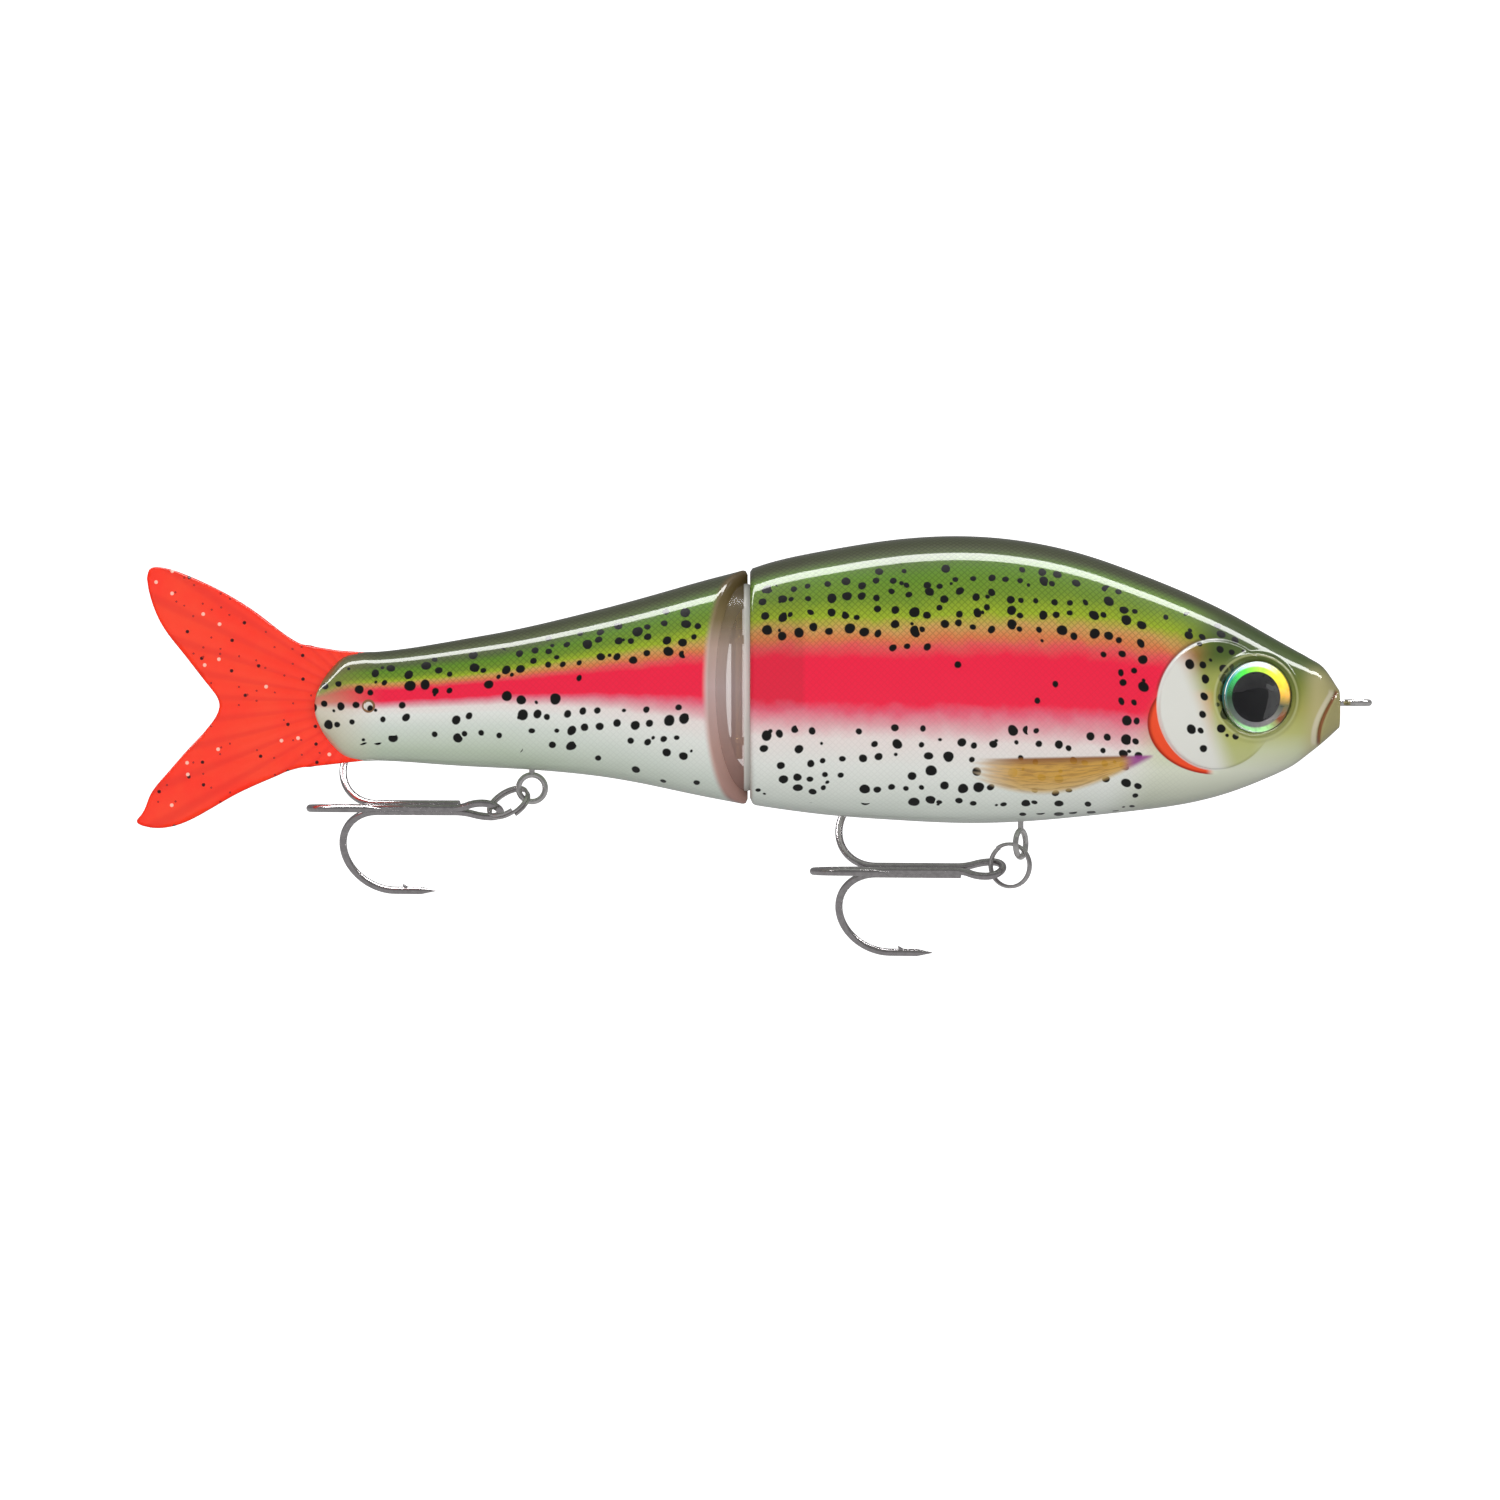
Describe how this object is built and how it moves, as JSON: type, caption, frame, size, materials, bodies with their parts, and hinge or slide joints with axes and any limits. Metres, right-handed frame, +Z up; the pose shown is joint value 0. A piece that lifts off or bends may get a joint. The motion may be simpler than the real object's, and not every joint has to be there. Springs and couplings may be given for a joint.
{
  "type": "jointed swimbait",
  "caption": "Trout-shaped fishing lure: two hollow body sections on a vertical hinge pin, a soft forked tail, and treble hooks hung on split rings under the belly.",
  "frame": {"origin": "centre of the line tie's eye at the nose", "axes": "+X to the nose, +Y to the lure's left side, +Z up towards the back"},
  "size_m": [0.1646, 0.0251, 0.0564],
  "materials": {
    "painted_shell": "gloss trout paint over moulded plastic, clear coated",
    "eye_foil": "printed reflective foil",
    "clear_lens": "clear moulded acrylic dome",
    "steel_wire": "bright stainless wire",
    "brass_eye": "bright brass",
    "black_nickel": "black nickel plated hook wire",
    "solder": "plated solder",
    "ballast": "plain steel",
    "soft_tail": "soft moulded orange-red plastic with glitter",
    "lock_pin": "white plastic"
  },
  "bodies": {
    "front_section": {"front_shell_right": "painted_shell", "front_shell_left": "painted_shell", "line_tie": "steel_wire", "front_hook_hanger": "steel_wire", "upper_hinge_eye": "brass_eye", "lower_hinge_eye": "brass_eye", "right_eye_disc": "eye_foil", "left_eye_disc": "eye_foil", "right_eye_lens": "clear_lens", "left_eye_lens": "clear_lens", "front_keel_weight": "ballast", "middle_keel_weight": "ballast"},
    "rear_section": {"rear_shell_right": "painted_shell", "rear_shell_left": "painted_shell", "hinge_pin": "brass_eye", "rear_hook_hanger": "steel_wire", "rear_keel_weight": "ballast", "tail_lock_pin": "lock_pin", "tail_root": "soft_tail"},
    "tail": {"tail_fin": "soft_tail"},
    "front_ring": {"front_split_ring": "steel_wire"},
    "front_hook": {"front_treble_double_hook": "black_nickel", "front_treble_third_hook": "black_nickel", "front_treble_braze": "solder"},
    "rear_ring": {"rear_split_ring": "steel_wire"},
    "rear_hook": {"rear_treble_double_hook": "black_nickel", "rear_treble_third_hook": "black_nickel", "rear_treble_braze": "solder"}
  },
  "joints": [
    {"name": "body_hinge", "type": "hinge", "parent": "front_section", "child": "rear_section", "pos_m": [-0.08265, 0, 0], "axis": [0, 0, 1], "range_deg": [-28, 28]},
    {"name": "tail_flex", "type": "hinge", "parent": "rear_section", "child": "tail", "pos_m": [-0.14045, 0, 0], "axis": [0, 0, 1], "range_deg": [-25, 25], "stiffness_Nm_per_rad": 0.01},
    {"name": "front_ring_swing", "type": "hinge", "parent": "front_section", "child": "front_ring", "pos_m": [-0.04485, 0, -0.02056], "axis": [-0.4226, -0.9063, 0], "range_deg": [0, 75]},
    {"name": "front_hook_swing", "type": "hinge", "parent": "front_ring", "child": "front_hook", "pos_m": [-0.0472, 0.0011, -0.02245], "axis": [-0.282, -0.8188, -0.5], "range_deg": [0, 50]},
    {"name": "rear_ring_swing", "type": "hinge", "parent": "rear_section", "child": "rear_ring", "pos_m": [-0.10995, 0, -0.01139], "axis": [0, -1, 0], "range_deg": [0, 75]},
    {"name": "rear_hook_swing", "type": "hinge", "parent": "rear_ring", "child": "rear_hook", "pos_m": [-0.11418, 0, -0.01404], "axis": [-0.282, -0.8188, 0.5], "range_deg": [0, 60]}
  ]
}
